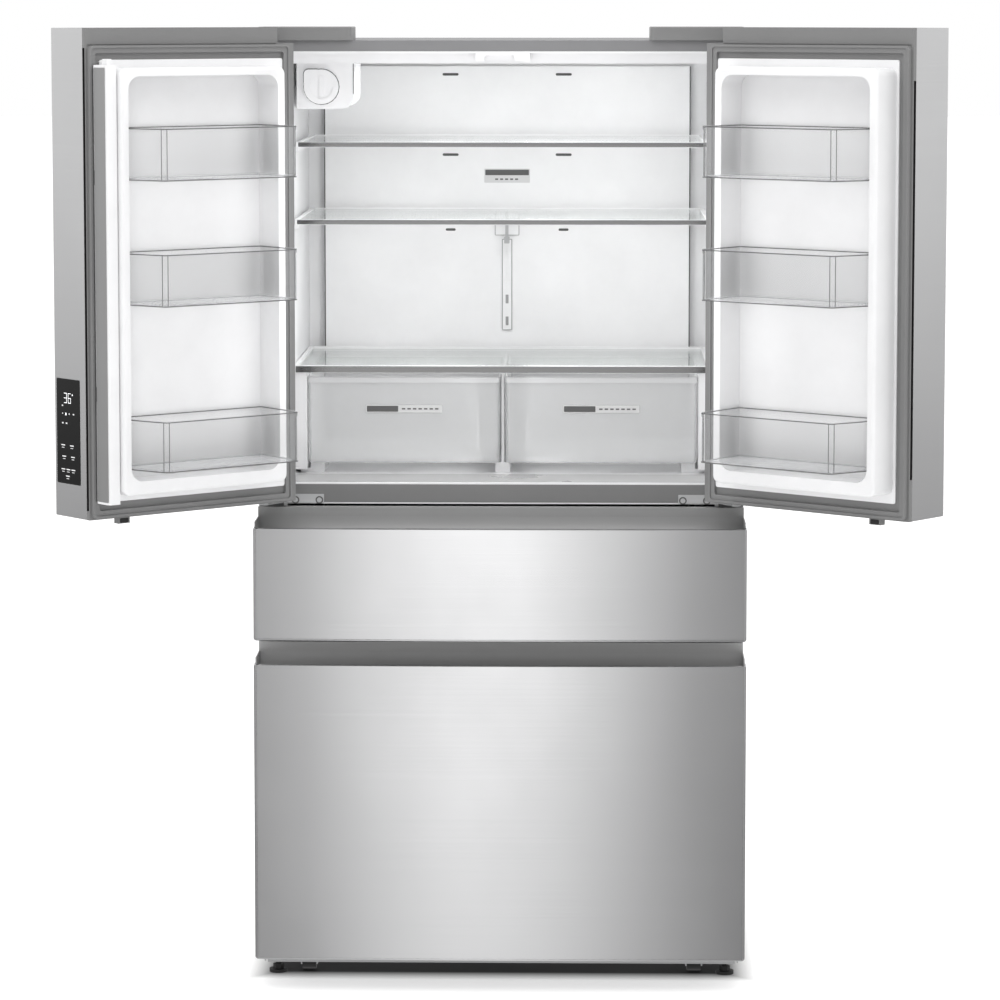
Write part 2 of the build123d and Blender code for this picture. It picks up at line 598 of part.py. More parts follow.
def drawer_front(name, lip, bottom):
    """The bowed steel front of a drawer with its side returns."""
    with BuildPart() as hollow:
        inside = (-HALF + SHEET, HALF - SHEET)
        bowed_slab(inside, (SHEET, 97), (bottom + SHEET, lip - SHEET), BOW, 5)
        fillet(hollow.edges().group_by(Axis.Z)[0].group_by(Axis.Y)[0], 5 - SHEET)
    with BuildPart() as front_skin:
        bowed_slab((-HALF, HALF), (0, 96), (bottom, lip), BOW, 6)
        fillet(front_skin.edges().group_by(Axis.Z)[0].group_by(Axis.Y)[0], 5)
        add(hollow.part, mode=Mode.SUBTRACT)
        block((-HALF + SHEET, HALF - SHEET), (12.8, 97), (lip - 2 * SHEET, lip + 1), Mode.SUBTRACT)
    save(front_skin, name)


def drawer_handle(name, top):
    """The moulded finger scoop behind the front's top edge, with its end walls."""
    half = HALF - TRIM_INSET
    with BuildPart() as handle:
        with BuildSketch(Plane.YZ) as section:
            scoop(top, SCOOP_RADIUS + TRIM_WALL)
            with Locations((FRONT + 52, top + 60)):
                Rectangle(200, 154, mode=Mode.SUBTRACT)
            with Locations((FRONT - 87, top - 50)):
                Rectangle(200, 154, mode=Mode.SUBTRACT)
            with Locations((FRONT + 95.25, top - 10)):
                Rectangle(2.5, 20)
            with Locations((FRONT + 102.5, top - TRIM_WALL / 2)):
                Rectangle(17, TRIM_WALL)
            scoop(top, SCOOP_RADIUS)
        extrude(section.sketch, amount=half, both=True)
        with BuildSketch(Plane.YZ) as hollow:
            scoop(top, SCOOP_RADIUS)
        extrude(hollow.sketch, amount=half - 2, both=True, mode=Mode.SUBTRACT)
        block((-half - 1, half + 1), (-10, 94), (top - 17, top + 60), Mode.SUBTRACT)
    save(handle, name)


def drawer_core(name, top, lip, bottom):
    """The foam-filled body of a drawer's front and its flat inner panel."""
    with BuildPart() as core:
        inside = (-HALF + SHEET + 0.3, HALF - SHEET - 0.3)
        bowed_slab(inside, (SHEET + 0.3, 99), (bottom + SHEET + 5, lip - 3), BOW - 0.3, 4.6)
        edge = (-HALF + TRIM_INSET, HALF - TRIM_INSET)
        block(edge, (97, DOOR_THICKNESS), (bottom + 2, top - TRIM_WALL - 0.3))
        with BuildSketch(Plane.YZ) as section:
            scoop(top, SCOOP_RADIUS + TRIM_WALL + 0.3)
        extrude(section.sketch, amount=HALF + 1, both=True, mode=Mode.SUBTRACT)
        block((-HALF, HALF), (10, 97), (top - 30, top + 1), Mode.SUBTRACT)
    save(core, name)


def drawer_gasket(name, top, bottom):
    """The gasket around a drawer front's back."""
    with BuildPart() as gasket:
        rounded_block((-440, 440), (DOOR_THICKNESS, DOOR_THICKNESS + 8.6), (bottom + 6, top - 4), 8)
        middle = (DOOR_THICKNESS - 1, DOOR_THICKNESS + 10)
        rounded_block((-427, 427), middle, (bottom + 19, top - 17), 4, Mode.SUBTRACT)
    save(gasket, name)


def drawer_basket(name, depths, heights, rim):
    """An open basket whose side flanges rest on the slides."""
    with BuildPart() as basket:
        half = 370.0
        block((-half, half), depths, heights)
        fillet(basket.edges().filter_by(Axis.Z), 18)
        fillet(basket.faces().sort_by(Axis.Z)[0].edges(), 10)
        block((-384, 384), (depths[0] + 30, depths[1] - 30), (rim, rim + 3))
        inner_depths = (depths[0] + 3, depths[1] - 3)
        block((-half + 3, half - 3), inner_depths, (heights[0] + 3, heights[1] + 1), Mode.SUBTRACT)
    save(basket, name)


def drawer_slides(name, depths, level):
    """The inner slide members and the plates that bolt them to the drawer's front."""
    with BuildPart() as slides:
        for side in (-1, 1):
            block((side * 376, side * 384), depths, (level, level + 36))
            block((side * 384, side * 390), depths, (level + 13, level + 23))
            block((side * 350, side * 384), (depths[0], depths[0] + 3), (level - 12, level + 48))
    save(slides, name)


CHILL_SLIDE = 720.0
FREEZER_SLIDE = 420.0
drawer_front("upper_drawer_front", DRAWER_LIP, DRAWER_BOTTOM)
drawer_handle("upper_drawer_handle", DRAWER_TOP)
drawer_core("upper_drawer_panel", DRAWER_TOP, DRAWER_LIP, DRAWER_BOTTOM)
drawer_gasket("upper_drawer_gasket", DRAWER_TOP, DRAWER_BOTTOM)
drawer_basket("upper_drawer_basket", (135, 640), (680, 850), CHILL_SLIDE + 36)
drawer_slides("upper_drawer_slides", (DOOR_THICKNESS, 650), CHILL_SLIDE)

drawer_front("freezer_drawer_front", FREEZER_LIP, FREEZER_BOTTOM)
drawer_handle("freezer_drawer_handle", FREEZER_TOP)
drawer_core("freezer_drawer_panel", FREEZER_TOP, FREEZER_LIP, FREEZER_BOTTOM)
drawer_gasket("freezer_drawer_gasket", FREEZER_TOP, FREEZER_BOTTOM)
drawer_basket("freezer_drawer_basket", (135, 560), (95, 600), FREEZER_SLIDE + 36)
drawer_slides("freezer_drawer_slides", (DOOR_THICKNESS, 640), FREEZER_SLIDE)

with BuildPart() as channels:
    for level in (CHILL_SLIDE, FREEZER_SLIDE):
        for side in (-1, 1):
            block((side * 384.5, side * (CAVITY_HALF - 0.1)), (128, 690), (level + 4, level + 32))
            block((side * 383, side * 391), (127, 691), (level + 12.5, level + 23.5), Mode.SUBTRACT)
save(channels, "slide_channels")

# ---------------------------------------------------------------- base, feet and rollers

FOOT_X = 422.0
FRONT_ROLLER = (364.0, 170.0, 20.0)
REAR_ROLLER = (400.0, 780.0, 21.0)
ROLLER_HALF = 13.0


def roller_bracket(x, depth, level):
    """Add two cheeks and an axle around a roller's place."""
    for cheek in (-1, 1):
        near = x + cheek * (ROLLER_HALF + 0.5)
        block((near, near + cheek * 2.5), (depth - 14, depth + 14), (level - 9, CABINET_BASE - 1.9))
    axle((x - ROLLER_HALF - 3, x + ROLLER_HALF + 3), depth, level, 4)


with BuildPart() as base_frame:
    block((-446, 446), (FACE - FRONT + 3, DEPTH - 3), (CABINET_BASE - 2, CABINET_BASE + 0.8))
    for side in (-1, 1):
        block((side * 444, side * 446), (FACE - FRONT + 3, DEPTH - 3), (26, CABINET_BASE - 1))
        for x, depth, level in (FRONT_ROLLER, REAR_ROLLER):
            roller_bracket(side * x, depth, level + (1 if x < 380 else 0))
        rod(side * FOOT_X, 150, 26, 9, CABINET_BASE - 27)
        rod(side * FOOT_X, 150, 25, 4.9, CABINET_BASE, Mode.SUBTRACT)
    block((-440, 440), (FACE - FRONT + 3, FACE - FRONT + 5), (24, CABINET_BASE - 1))
save(base_frame, "base_frame")

with BuildPart() as feet:
    for side in (-1, 1):
        rod(side * FOOT_X, 150, 0, 17, 6)
        with BuildSketch(Plane.XY.offset(6)) as hexagon:
            with Locations((side * FOOT_X, FRONT + 150)):
                RegularPolygon(10, 6)
        extrude(hexagon.sketch, amount=9)
        rod(side * FOOT_X, 150, 15, 4.8, 28)
save(feet, "levelling_feet")

ROLLERS = (("front_rollers", FRONT_ROLLER, 1.0), ("rear_rollers", REAR_ROLLER, 0.0))
for name, (x, depth, radius), lift in ROLLERS:
    with BuildPart() as rollers:
        for side in (-1, 1):
            span = (side * x - ROLLER_HALF, side * x + ROLLER_HALF)
            axle(span, depth, radius + lift, radius)
            axle(span, depth, radius + lift, 4 + RUNNING_FIT, Mode.SUBTRACT)
    save(rollers, name)

# ---------------------------------------------------------------- cooling system

BAY_MIDDLE = 715.0
with BuildPart() as compressor:
    rod(-250, BAY_MIDDLE, 62, 85, 183)
    fillet(compressor.edges().group_by(Axis.Z)[-1], 48)
    fillet(compressor.edges().group_by(Axis.Z)[0], 16)
    block((-340, -160), (BAY_MIDDLE - 70, BAY_MIDDLE + 70), (54, 62))
    for x in (-325, -175):
        for y in (-55, 55):
            rod(x, BAY_MIDDLE + y, 47, 9, 7)
save(compressor, "compressor")

FAN_X = 30.0
FAN_Z = 165.0
with BuildPart() as condenser:
    for index in range(15):
        x = 70 + 8 * index
        block((x, x + 1.2), (BAY_MIDDLE - 80, BAY_MIDDLE + 80), (60, 270))
    for row in range(5):
        for column in (-45, 0, 45):
            axle((66, 190), BAY_MIDDLE + column, 85 + 40 * row, 4.5)
    block((48, 50), (BAY_MIDDLE - 95, BAY_MIDDLE + 95), (50, 290))
    axle((40, 60), BAY_MIDDLE, FAN_Z, 82, Mode.SUBTRACT)
    for y in (-88, 88):
        block((48, 182), (BAY_MIDDLE + y - 1, BAY_MIDDLE + y + 1), (52, 288))
    block((48, 72), (BAY_MIDDLE - 88, BAY_MIDDLE + 88), (268, 270))
    axle((-60, FAN_X - 12.4), BAY_MIDDLE, FAN_Z, 30)
    block((-58, -20), (BAY_MIDDLE - 12, BAY_MIDDLE + 12), (CABINET_BASE + 1, FAN_Z))
save(condenser, "condenser_unit")

with BuildPart() as condenser_fan:
    axle((FAN_X - 12, FAN_X + 12), BAY_MIDDLE, FAN_Z, 22)
    blade_plane = Plane(origin=(FAN_X, FRONT + BAY_MIDDLE, FAN_Z), x_dir=(0, 1, 0), z_dir=(1, 0, 0))
    with Locations(blade_plane):
        with PolarLocations(47, 5):
            Box(56, 34, 2.5, rotation=(28, 0, 0))
save(condenser_fan, "condenser_fan")

with BuildPart() as bay_cover:
    block((-448, 448), (DEPTH - 1.4, DEPTH - 0.2), (CABINET_BASE + 1, BAY_TOP - 0.5))
    for column in (-280, -140, 0, 140, 280):
        for row in range(6):
            rounded_block(
                (column - 50, column + 50),
                (DEPTH - 3, DEPTH + 1),
                (90 + 24 * row, 98 + 24 * row),
                3.9,
                Mode.SUBTRACT,
            )
save(bay_cover, "compressor_cover")

with BuildPart() as inlet:
    rounded_block((352, 400), (DEPTH - 0.2, DEPTH + 6), (240, 282), 5)
    rounded_block((360, 392), (DEPTH + 1, DEPTH + 7), (248, 274), 4, Mode.SUBTRACT)
    for x in (368, 376, 384):
        block((x - 1, x + 1), (DEPTH, DEPTH + 5), (257, 265))
save(inlet, "power_inlet")

EVAPORATOR_FAN_Z = 545.0
with BuildPart() as evaporator_cover:
    block((-396, 396), (692, 695), (BAY_TOP + 33, FREEZER_CEILING - 1))
    stud(0, (690, 697), EVAPORATOR_FAN_Z, 62, Mode.SUBTRACT)
    for x in (-250, 250):
        for row in range(4):
            rounded_block((x - 60, x + 60), (690, 697), (500 + 22 * row, 508 + 22 * row), 3.9, Mode.SUBTRACT)
save(evaporator_cover, "evaporator_cover")

with BuildPart() as evaporator:
    for index in range(21):
        x = -250 + 25 * index
        block((x - 0.6, x + 0.6), (699, 733), (345, 470))
    for level in (360, 392, 424, 456):
        axle((-262, 262), 716, level, 4.5)
save(evaporator, "evaporator")

with BuildPart() as evaporator_fan:
    stud(0, (702, 720), EVAPORATOR_FAN_Z, 17)
    blade_plane = Plane(origin=(0, FRONT + 711, EVAPORATOR_FAN_Z), x_dir=(1, 0, 0), z_dir=(0, -1, 0))
    with Locations(blade_plane):
        with PolarLocations(34, 5):
            Box(42, 24, 2, rotation=(28, 0, 0))
save(evaporator_fan, "evaporator_fan")
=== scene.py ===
import json
from math import radians, tan

import bmesh
import bpy
from mathutils import Matrix, Vector


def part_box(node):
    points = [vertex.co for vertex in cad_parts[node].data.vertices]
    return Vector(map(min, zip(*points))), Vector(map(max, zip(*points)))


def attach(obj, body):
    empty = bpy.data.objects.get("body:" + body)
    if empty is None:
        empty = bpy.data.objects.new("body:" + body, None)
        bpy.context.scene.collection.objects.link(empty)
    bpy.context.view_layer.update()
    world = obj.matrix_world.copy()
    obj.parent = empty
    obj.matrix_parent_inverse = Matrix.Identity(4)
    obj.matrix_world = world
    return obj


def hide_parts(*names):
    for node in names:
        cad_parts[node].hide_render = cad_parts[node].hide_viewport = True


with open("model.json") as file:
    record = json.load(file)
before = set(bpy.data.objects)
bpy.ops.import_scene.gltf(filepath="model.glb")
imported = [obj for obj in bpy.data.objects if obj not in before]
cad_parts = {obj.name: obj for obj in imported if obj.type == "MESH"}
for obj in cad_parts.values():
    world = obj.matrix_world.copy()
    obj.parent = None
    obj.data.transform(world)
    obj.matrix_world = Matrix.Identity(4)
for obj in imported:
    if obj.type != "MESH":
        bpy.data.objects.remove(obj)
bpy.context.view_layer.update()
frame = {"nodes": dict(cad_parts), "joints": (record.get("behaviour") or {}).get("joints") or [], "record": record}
NODES = frame["nodes"]
JOINTS = {joint["name"]: joint for joint in frame["joints"]}

# Lengths below are in millimetres. Depths count back from the side edges of the drawers' fronts.
MM = 0.001
BOW = 9.0  # the middle of a front stands this far proud of its side edges
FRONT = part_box("freezer_drawer_front")[0].y / MM + BOW
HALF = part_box("freezer_drawer_front")[1].x / MM
DOOR_THICKNESS = 112.0
DOOR_WIDTH = 450.0
DUCT_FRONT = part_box("air_duct_panel")[0].y / MM - FRONT


def grey(level):
    return (level, level, level)


def word_for(side):
    """The name of a side, which is -1 or 1 as its X is."""
    return "right" if side > 0 else "left"


def point(x, depth, z):
    """A point of the object's frame, in metres."""
    return Vector((x, FRONT + depth, z)) * MM


def door_turn(side):
    """The matrix that turns a piece of a shut door to where the door rests, open."""
    joint = JOINTS[f"{word_for(side)}_door_hinge"]
    pin = Matrix.Translation(joint["pos_m"])
    turn = Matrix.Rotation(-radians(joint["range_deg"][1]), 4, Vector(joint["axis"]))
    return pin @ turn @ pin.inverted()


DOOR_TURN = {side: door_turn(side) for side in (-1, 1)}
DOOR_BODY = {-1: "left_door", 1: "right_door"}
STILL = Matrix.Identity(4)


def node_box(name):
    """The lowest and highest corners of a node at rest, in millimetres."""
    low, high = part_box(name)
    return low / MM, high / MM


# ---------------------------------------------------------------- camera and light

CAMERA_PLACE = (148.6, -7107.9, 1811.3)
LOOK_DOWN = 5.546  # degrees
LOOK_LEFT = 1.192


def make_camera():
    """A long lens at the height of the object's top, a little right of its middle."""
    data = bpy.data.cameras.new("camera")
    data.lens = 140.8
    data.sensor_width = 36.0
    data.shift_y = -0.11
    data.clip_end = 100.0
    camera = bpy.data.objects.new("camera", data)
    camera.location = point(*CAMERA_PLACE)
    camera.rotation_euler = (radians(90 - LOOK_DOWN), 0, radians(LOOK_LEFT))
    bpy.context.scene.collection.objects.link(camera)
    bpy.context.scene.camera = camera


def area_light(name, place, target, size, power, glossy=True):
    """A soft rectangular light at one point that looks at another, out of sight."""
    data = bpy.data.lights.new(name, "AREA")
    data.shape = "RECTANGLE"
    data.size, data.size_y = size
    data.energy = power
    light = bpy.data.objects.new(name, data)
    light.location = place
    light.rotation_euler = (target - place).to_track_quat("-Z", "Y").to_euler()
    light.visible_camera = False
    light.visible_glossy = glossy
    bpy.context.scene.collection.objects.link(light)


# Brightness of the studio by the X of a direction, ahead of the object.
AHEAD = (
    (-1.0, 0.95), (-0.6, 0.9), (-0.35, 0.5), (-0.22, 0.4), (-0.165, 0.5), (-0.135, 0.82), (-0.1, 1.4),
    (-0.06, 1.85), (-0.035, 1.92), (-0.01, 1.84), (0.025, 1.45), (0.06, 0.96), (0.095, 0.54), (0.13, 0.3),
    (0.2, 0.24), (0.35, 0.5), (0.6, 0.9), (1.0, 0.95),
)
# How that changes with the Z of a direction; the sides fall off earlier.
BELOW = (
    (-0.9, 0.62), (-0.55, 0.55), (-0.4, 0.2), (-0.33, 0.08), (-0.28, 0.17), (-0.24, 0.6), (-0.21, 0.92),
    (-0.17, 1.03), (1.0, 1.03),
)
SIDE_SHIFT = -0.14
BACKDROP = 1.0  # brightness behind the object
BACKDROP_BLEND = (-0.3, 0.1)  # the Y of a direction over which that takes over


def ramp_from(tree, value, stops):
    """A ramp of grey levels over a value between -1 and 1."""
    spread = tree.nodes.new("ShaderNodeMapRange")
    spread.inputs["From Min"].default_value = -1
    tree.links.new(value, spread.inputs["Value"])
    ramp = tree.nodes.new("ShaderNodeValToRGB")
    elements = ramp.color_ramp.elements
    while len(elements) < len(stops):
        elements.new(0.5)
    for element, (place, level) in zip(elements, stops):
        element.position = (place + 1) / 2
        element.color = (*grey(level), 1)
    tree.links.new(spread.outputs[0], ramp.inputs[0])
    return ramp.outputs[0]


def make_world():
    """A white studio: bright ahead of the object, darker beside that, white in view."""
    world = bpy.data.worlds.new("studio")
    bpy.context.scene.world = world
    world.use_nodes = True
    tree = world.node_tree
    tree.nodes.clear()
    add = tree.nodes.new

    def calculate(operation, *values):
        node = add("ShaderNodeMath")
        node.operation = operation
        for socket, value in zip(node.inputs, values):
            if isinstance(value, float):
                socket.default_value = value
            else:
                tree.links.new(value, socket)
        return node.outputs[0]

    coordinates = add("ShaderNodeTexCoord")
    axes = add("ShaderNodeSeparateXYZ")
    tree.links.new(coordinates.outputs["Generated"], axes.inputs[0])
    x, y, z = (axes.outputs[name] for name in "XYZ")
    behind = add("ShaderNodeMapRange")
    behind.inputs["From Min"].default_value = BACKDROP_BLEND[0]
    behind.inputs["From Max"].default_value = BACKDROP_BLEND[1]
    tree.links.new(y, behind.inputs["Value"])
    mix = add("ShaderNodeMix")
    mix.data_type = "RGBA"
    tree.links.new(behind.outputs[0], mix.inputs["Factor"])
    tree.links.new(ramp_from(tree, x, AHEAD), mix.inputs["A"])
    mix.inputs["B"].default_value = (*grey(BACKDROP), 1)
    lowered = calculate("MULTIPLY_ADD", calculate("ABSOLUTE", x), SIDE_SHIFT, z)
    studio = add("ShaderNodeBackground")
    tree.links.new(mix.outputs["Result"], studio.inputs["Color"])
    tree.links.new(ramp_from(tree, lowered, BELOW), studio.inputs["Strength"])
    seen = add("ShaderNodeBackground")
    seen.inputs["Color"].default_value = (1, 1, 1, 1)
    ray = add("ShaderNodeLightPath")
    choose = add("ShaderNodeMixShader")
    tree.links.new(ray.outputs["Is Camera Ray"], choose.inputs[0])
    tree.links.new(studio.outputs[0], choose.inputs[1])
    tree.links.new(seen.outputs[0], choose.inputs[2])
    output = add("ShaderNodeOutputWorld")
    tree.links.new(choose.outputs[0], output.inputs["Surface"])


def light_object():
    """One light over the object, and the lamps of the food compartment, out of reflections."""
    area_light("overhead", point(0, -900, 3600), point(0, 0, 0), (4.0, 3.0), 55.0)
    area_light("cabin_top", point(60, 330, 1710), point(60, 420, 1300), (0.62, 0.2), 3.1, False)
    area_light("cabin_fill", point(0, -120, 1400), point(0, 700, 1340), (0.78, 0.56), 1.0, False)
    for side in (-1, 1):
        place, wall = point(side * 40, 300, 1330), point(side * 398, 380, 1330)
        area_light(f"cabin_side_{side}", place, wall, (0.06, 0.7), 0.72, False)


# ---------------------------------------------------------------- materials


class Surface:
    """A Principled material with object coordinates, built up one detail at a time."""

    def __init__(self, name, colour, roughness, metallic=0.0, **sockets):
        self.material = bpy.data.materials.new(name)
        self.material.use_nodes = True
        self.tree = self.material.node_tree
        self.shader = self.tree.nodes["Principled BSDF"]
        self.shader.inputs["Base Color"].default_value = (*colour, 1)
        self.shader.inputs["Roughness"].default_value = roughness
        self.shader.inputs["Metallic"].default_value = metallic
        for socket, value in sockets.items():
            self.shader.inputs[socket.replace("_", " ")].default_value = value
        self.coordinates = self.tree.nodes.new("ShaderNodeTexCoord")
        self.normal = None

    def link(self, source, target):
        self.tree.links.new(source, target)

    def noise(self, scale, detail=4.0, roughness=0.5):
        """A noise texture whose scale is three numbers, in cycles a metre."""
        mapping = self.tree.nodes.new("ShaderNodeMapping")
        mapping.inputs["Scale"].default_value = scale
        self.link(self.coordinates.outputs["Object"], mapping.inputs["Vector"])
        texture = self.tree.nodes.new("ShaderNodeTexNoise")
        texture.inputs["Scale"].default_value = 1.0
        texture.inputs["Detail"].default_value = detail
        texture.inputs["Roughness"].default_value = roughness
        self.link(mapping.outputs[0], texture.inputs["Vector"])
        return texture.outputs["Fac"]

    def spread(self, value, low, high, start=0.3, end=0.7):
        """The value from start to end, spread from low to high."""
        scale = self.tree.nodes.new("ShaderNodeMapRange")
        scale.inputs["From Min"].default_value = start
        scale.inputs["From Max"].default_value = end
        scale.inputs["To Min"].default_value = low
        scale.inputs["To Max"].default_value = high
        self.link(value, scale.inputs["Value"])
        return scale.outputs[0]

    def vary_roughness(self, value, low, high):
        self.link(self.spread(value, low, high), self.shader.inputs["Roughness"])

    def vary_colour(self, value, dark, light):
        ramp = self.tree.nodes.new("ShaderNodeValToRGB")
        ramp.color_ramp.elements[0].position = 0.3
        ramp.color_ramp.elements[1].position = 0.7
        ramp.color_ramp.elements[0].color = (*dark, 1)
        ramp.color_ramp.elements[1].color = (*light, 1)
        self.link(value, ramp.inputs[0])
        self.link(ramp.outputs[0], self.shader.inputs["Base Color"])

    def bump(self, value, height_mm, strength=1.0):
        bump = self.tree.nodes.new("ShaderNodeBump")
        bump.inputs["Distance"].default_value = height_mm * MM
        bump.inputs["Strength"].default_value = strength
        self.link(value, bump.inputs["Height"])
        if self.normal is not None:
            self.link(self.normal, bump.inputs["Normal"])
        self.normal = bump.outputs[0]
        self.link(self.normal, self.shader.inputs["Normal"])


def brushed_steel():
    """Stainless steel brushed from side to side, with faint smears."""
    steel = Surface("brushed_stainless", (0.64, 0.64, 0.645), 0.2, 1.0, Anisotropic=0.85)
    steel.shader.inputs["Anisotropic Rotation"].default_value = 0.25
    tangent = steel.tree.nodes.new("ShaderNodeTangent")
    tangent.direction_type = "RADIAL"
    tangent.axis = "Z"
    steel.link(tangent.outputs[0], steel.shader.inputs["Tangent"])
    grain = steel.noise((2.0, 2.0, 1500.0), 3.0, 0.6)
    smears = steel.noise((4.0, 4.0, 3.0), 4.0, 0.5)
    steel.vary_roughness(smears, 0.18, 0.23)
    steel.vary_colour(grain, (0.625, 0.625, 0.631), (0.655, 0.655, 0.66))
    steel.bump(grain, 0.01, 0.12)
    return steel.material


def satin(name, colour, roughness, metallic=0.0, grain=600.0, height=0.03, **sockets):
    """Moulded plastic or paint: fine grain, and a roughness that wanders a little."""
    paint = Surface(name, colour, roughness, metallic, **sockets)
    fine = paint.noise((grain, grain, grain), 3.0)
    wide = paint.noise((7.0, 7.0, 7.0), 5.0, 0.6)
    wander = 0.055 - 0.045 * metallic  # blotches show more on metal
    paint.vary_roughness(wide, roughness - wander, roughness + wander)
    dark = tuple(c * 0.96 for c in colour)
    light = tuple(min(1.0, c * 1.03) for c in colour)
    paint.vary_colour(wide, dark, light)
    paint.bump(fine, height, 0.3)
    return paint.material


def clear(name, colour, roughness, thin, edge):
    """Clear or frosted plastic or glass: see-through face on, denser along its edges."""
    body = Surface(name, colour, roughness, 0.0, IOR=1.48)
    marks = body.noise((9.0, 9.0, 9.0), 4.0)
    body.vary_roughness(marks, max(0.01, roughness - 0.03), roughness + 0.04)
    body.bump(marks, 0.05, 0.15)
    facing = body.tree.nodes.new("ShaderNodeLayerWeight")
    facing.inputs["Blend"].default_value = 0.5
    body.link(body.spread(facing.outputs["Facing"], thin, edge, 0.45, 1.0), body.shader.inputs["Alpha"])
    return body.material


def glowing(name, colour, strength):
    """Light from a display, a little uneven across its segments."""
    lamp = Surface(name, grey(0.8), 0.5, Emission_Strength=strength)
    lamp.shader.inputs["Emission Color"].default_value = (*colour, 1)
    uneven = lamp.noise((300.0, 300.0, 300.0), 2.0)
    lamp.vary_roughness(uneven, 0.4, 0.6)
    return lamp.material


MATERIALS = {
    "brushed_stainless": brushed_steel(),
    "grey_frame": satin("grey_frame", grey(0.19), 0.45, 0.0),
    "grey_cabinet_paint": satin("grey_cabinet_paint", (0.195, 0.195, 0.2), 0.5, 0.0, 260.0, 0.12),
    "white_liner": satin("white_liner", (0.81, 0.81, 0.817), 0.34, 0.0, 220.0, 0.04),
    "duct_white": satin("duct_white", (0.83, 0.83, 0.835), 0.35, 0.0, 220.0, 0.04),
    "dark_trim": satin("dark_trim", (0.36, 0.36, 0.37), 0.3, 0.9, 500.0, 0.02),
    "shelf_glass": clear("shelf_glass", (0.6, 0.64, 0.625), 0.05, 0.06, 0.6),
    "clear_plastic": clear("clear_plastic", (0.7, 0.71, 0.72), 0.08, 0.035, 0.75),
    "frosted_plastic": clear("frosted_plastic", (0.84, 0.845, 0.85), 0.22, 0.35, 0.85),
    "gasket_grey": satin("gasket_grey", grey(0.2), 0.6, 0.0, 400.0, 0.05),
    "panel_plastic": satin("panel_plastic", grey(0.72), 0.5),
    "foam": satin("foam", (0.80, 0.72, 0.45), 0.9, 0.0, 150.0, 0.6),
    "zinc_steel": satin("zinc_steel", (0.56, 0.565, 0.57), 0.38, 0.85, 90.0, 0.02),
    "black_glass": satin("black_glass", grey(0.006), 0.2, 0.0, 40.0, 0.01, Specular_IOR_Level=0.18),
    "black_paint": satin("black_paint", grey(0.012), 0.3, 0.0, 300.0, 0.05),
    "coil_aluminium": satin("coil_aluminium", (0.7, 0.705, 0.71), 0.35, 1.0, 300.0, 0.04),
    "black_plastic": satin("black_plastic", grey(0.014), 0.5, 0.0, 500.0, 0.06),
}
# Dark print on the labels, also used as painted shade in the gaps round the hinge screws.
INK_AND_SHADE = satin("label_ink_and_painted_shade", grey(0.10), 0.5)
PALE_INK = satin("label_pale", grey(0.62), 0.5)
# Painted shade: dark plates in the gaps at the duct's edges, behind its vents and round the filter's cap.
PAINTED_SHADE = satin("dark_painted_shade", grey(0.09), 0.7)
# Paler painted shade: the shadow gaps round the shelf ladder and the dark inside its slots.
PALE_SHADE = satin("pale_painted_shade", grey(0.36), 0.6)
GLOW = glowing("display_glow", (0.95, 0.97, 1.0), 0.75)
DIM_GLOW = glowing("icon_glow", (0.8, 0.82, 0.85), 0.12)
# Painted shade: a darker grey laid on the step of the compartment's floor, which the lamps light.
LIP_SHADE = satin("lip_painted_shade", grey(0.46), 0.3)
# Painted shade: dark lines along the clear bins' thick rims, base and front corners.
EDGE_SHADE = satin("clear_edge_painted_shade", grey(0.13), 0.2)
TRIM = satin("polished_trim", grey(0.2), 0.2, 1.0, 500.0, 0.01)
# One grey for the drawers' handle pockets in two copies: darker for the upper one (painted shade), lighter for the
# lower one (painted light).
SHADED_UPPER_HANDLE = satin("upper_pocket_painted_shade", grey(0.3), 0.4, 0.1)
LIT_LOWER_HANDLE = satin("lower_pocket_painted_light", grey(0.5), 0.4, 0.1)
FLIPPER_STEEL = satin("flipper_steel", grey(0.33), 0.35, 0.6, 90.0, 0.02)
# Nodes whose visible finish differs from the rest of their slot.
OWN_FINISH = {
    # The handle pockets' greys are painted shade and painted light.
    "upper_drawer_handle": SHADED_UPPER_HANDLE,
    "freezer_drawer_handle": LIT_LOWER_HANDLE,
    "upper_shelf_frame": MATERIALS["duct_white"],
    "crisper_cover_frame": MATERIALS["duct_white"],
}


def finish_cad_nodes():
    """Give each CAD node its slot's finish."""
    for part in frame["record"]["subparts"]:
        node = NODES[part["node"]]
        node.data.materials.clear()
        node.data.materials.append(OWN_FINISH.get(part["node"], MATERIALS[part["material_slot"]]))


# ---------------------------------------------------------------- mesh helpers


def piece(name, bm, body, slot, material=None, bevel=0.0):
    """Finish a mesh as a piece that rides on a body."""
    bmesh.ops.recalc_face_normals(bm, faces=bm.faces)
    mesh = bpy.data.meshes.new(name)
    bm.to_mesh(mesh)
    bm.free()
    mesh.shade_smooth()
    mesh.set_sharp_from_angle(angle=radians(35))
    mesh.materials.append(material or MATERIALS[slot])
    made = bpy.data.objects.new(name, mesh)
    bpy.context.scene.collection.objects.link(made)
    if bevel:
        rounding = made.modifiers.new("rounding", "BEVEL")
        rounding.width = bevel * MM
        rounding.segments = 2
        rounding.limit_method = "ANGLE"
        rounding.angle_limit = radians(40)
    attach(made, body)
    return made


def add_block(bm, x, depth, z, turn=STILL):
    """Add a block that spans three pairs."""
    size = Matrix.Diagonal((*(abs(b - a) * MM for a, b in (x, depth, z)), 1))
    centre = point(sum(x) / 2, sum(depth) / 2, sum(z) / 2)
    bmesh.ops.create_cube(bm, size=1.0, matrix=turn @ Matrix.Translation(centre) @ size)


def add_prism(bm, points, direction):
    """Add a closed outline of points in metres, pushed along a direction."""
    bottom = [bm.verts.new(p) for p in points]
    top = [bm.verts.new(p + direction) for p in points]
    bm.faces.new(bottom)
    bm.faces.new(reversed(top))
    count = len(points)
    for i in range(count):
        j = (i + 1) % count
        bm.faces.new((bottom[j], bottom[i], top[i], top[j]))


